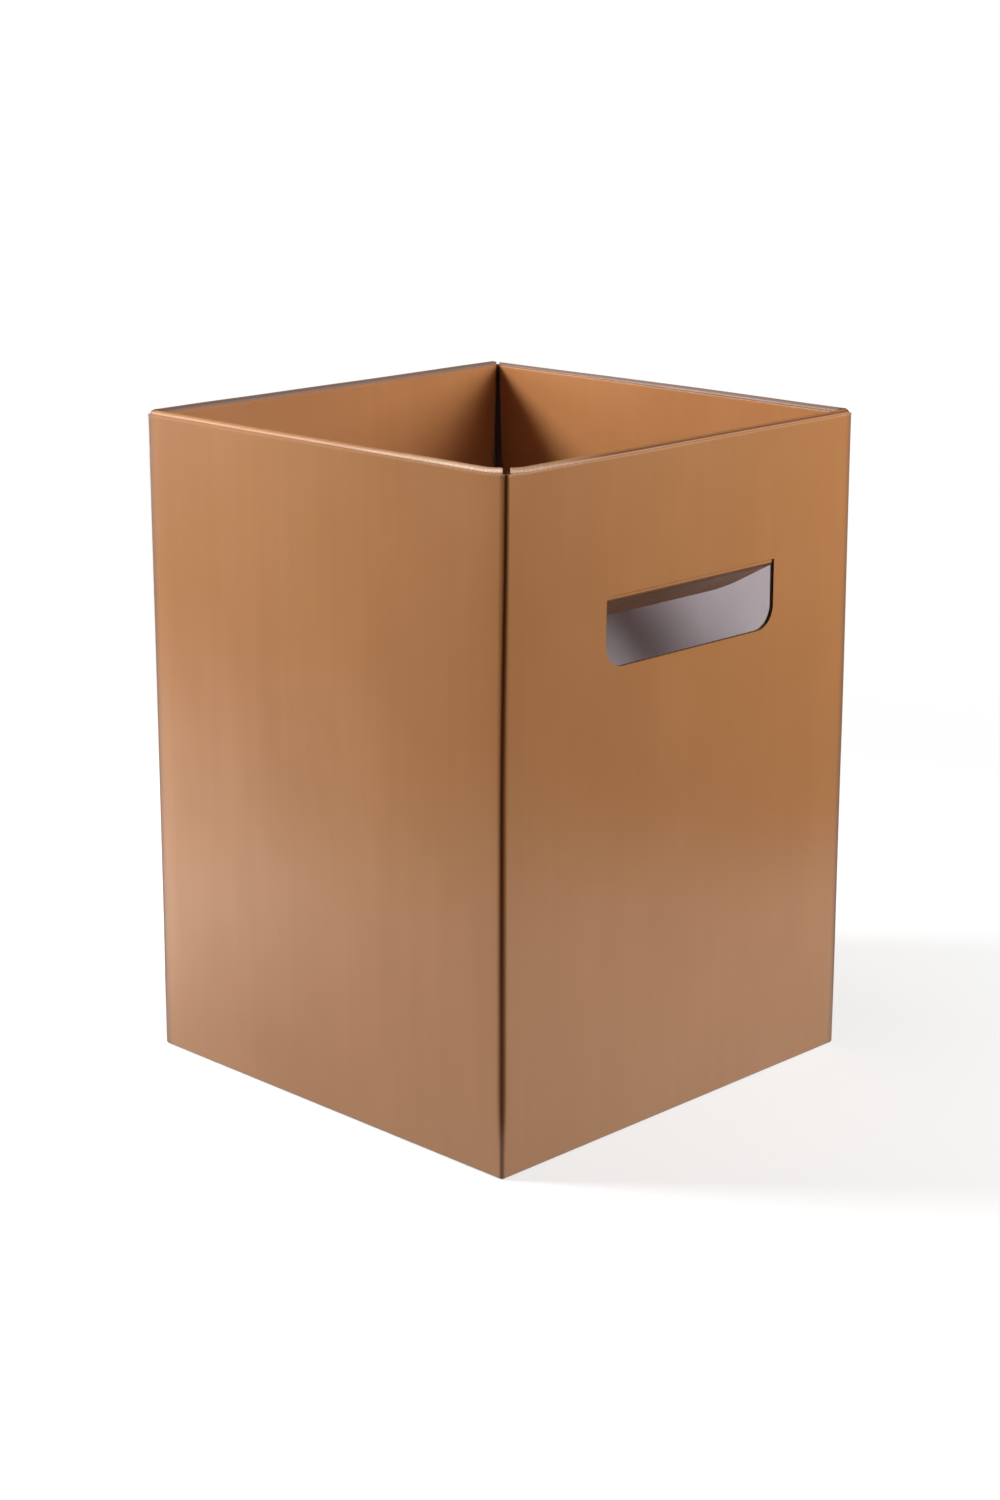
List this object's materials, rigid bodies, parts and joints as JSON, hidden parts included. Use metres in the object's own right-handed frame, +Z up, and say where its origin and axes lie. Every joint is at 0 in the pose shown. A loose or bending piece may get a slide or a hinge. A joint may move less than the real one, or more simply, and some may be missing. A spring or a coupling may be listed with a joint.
{
  "type": "bouquet box",
  "caption": "Tall square open-topped carton of coated fluted board with a rolled rim, a snap-lock base and hinged hand-hole flaps.",
  "frame": {"origin": "middle of the base, on the surface that the box stands on", "axes": "+Z up; the hand holes are in the +X and -X walls; the front wall faces -Y"},
  "size_m": [0.18, 0.18, 0.245],
  "materials": {
    "printed_board": "copper pearl print outside and on the lining, unprinted pale grey inside"
  },
  "bodies": {
    "carton": {"carton": "printed_board"},
    "flap_right": {"hand_flap_right": "printed_board"},
    "flap_left": {"hand_flap_left": "printed_board"}
  },
  "joints": [
    {"name": "right_flap_fold", "type": "hinge", "parent": "carton", "child": "flap_right", "pos_m": [0.0884, 0.0025, 0.1951], "axis": [0, 1, 0], "range_deg": [-61, 80]},
    {"name": "left_flap_fold", "type": "hinge", "parent": "carton", "child": "flap_left", "pos_m": [-0.0884, -0.0025, 0.1951], "axis": [0, -1, 0], "range_deg": [-61, 80]}
  ]
}
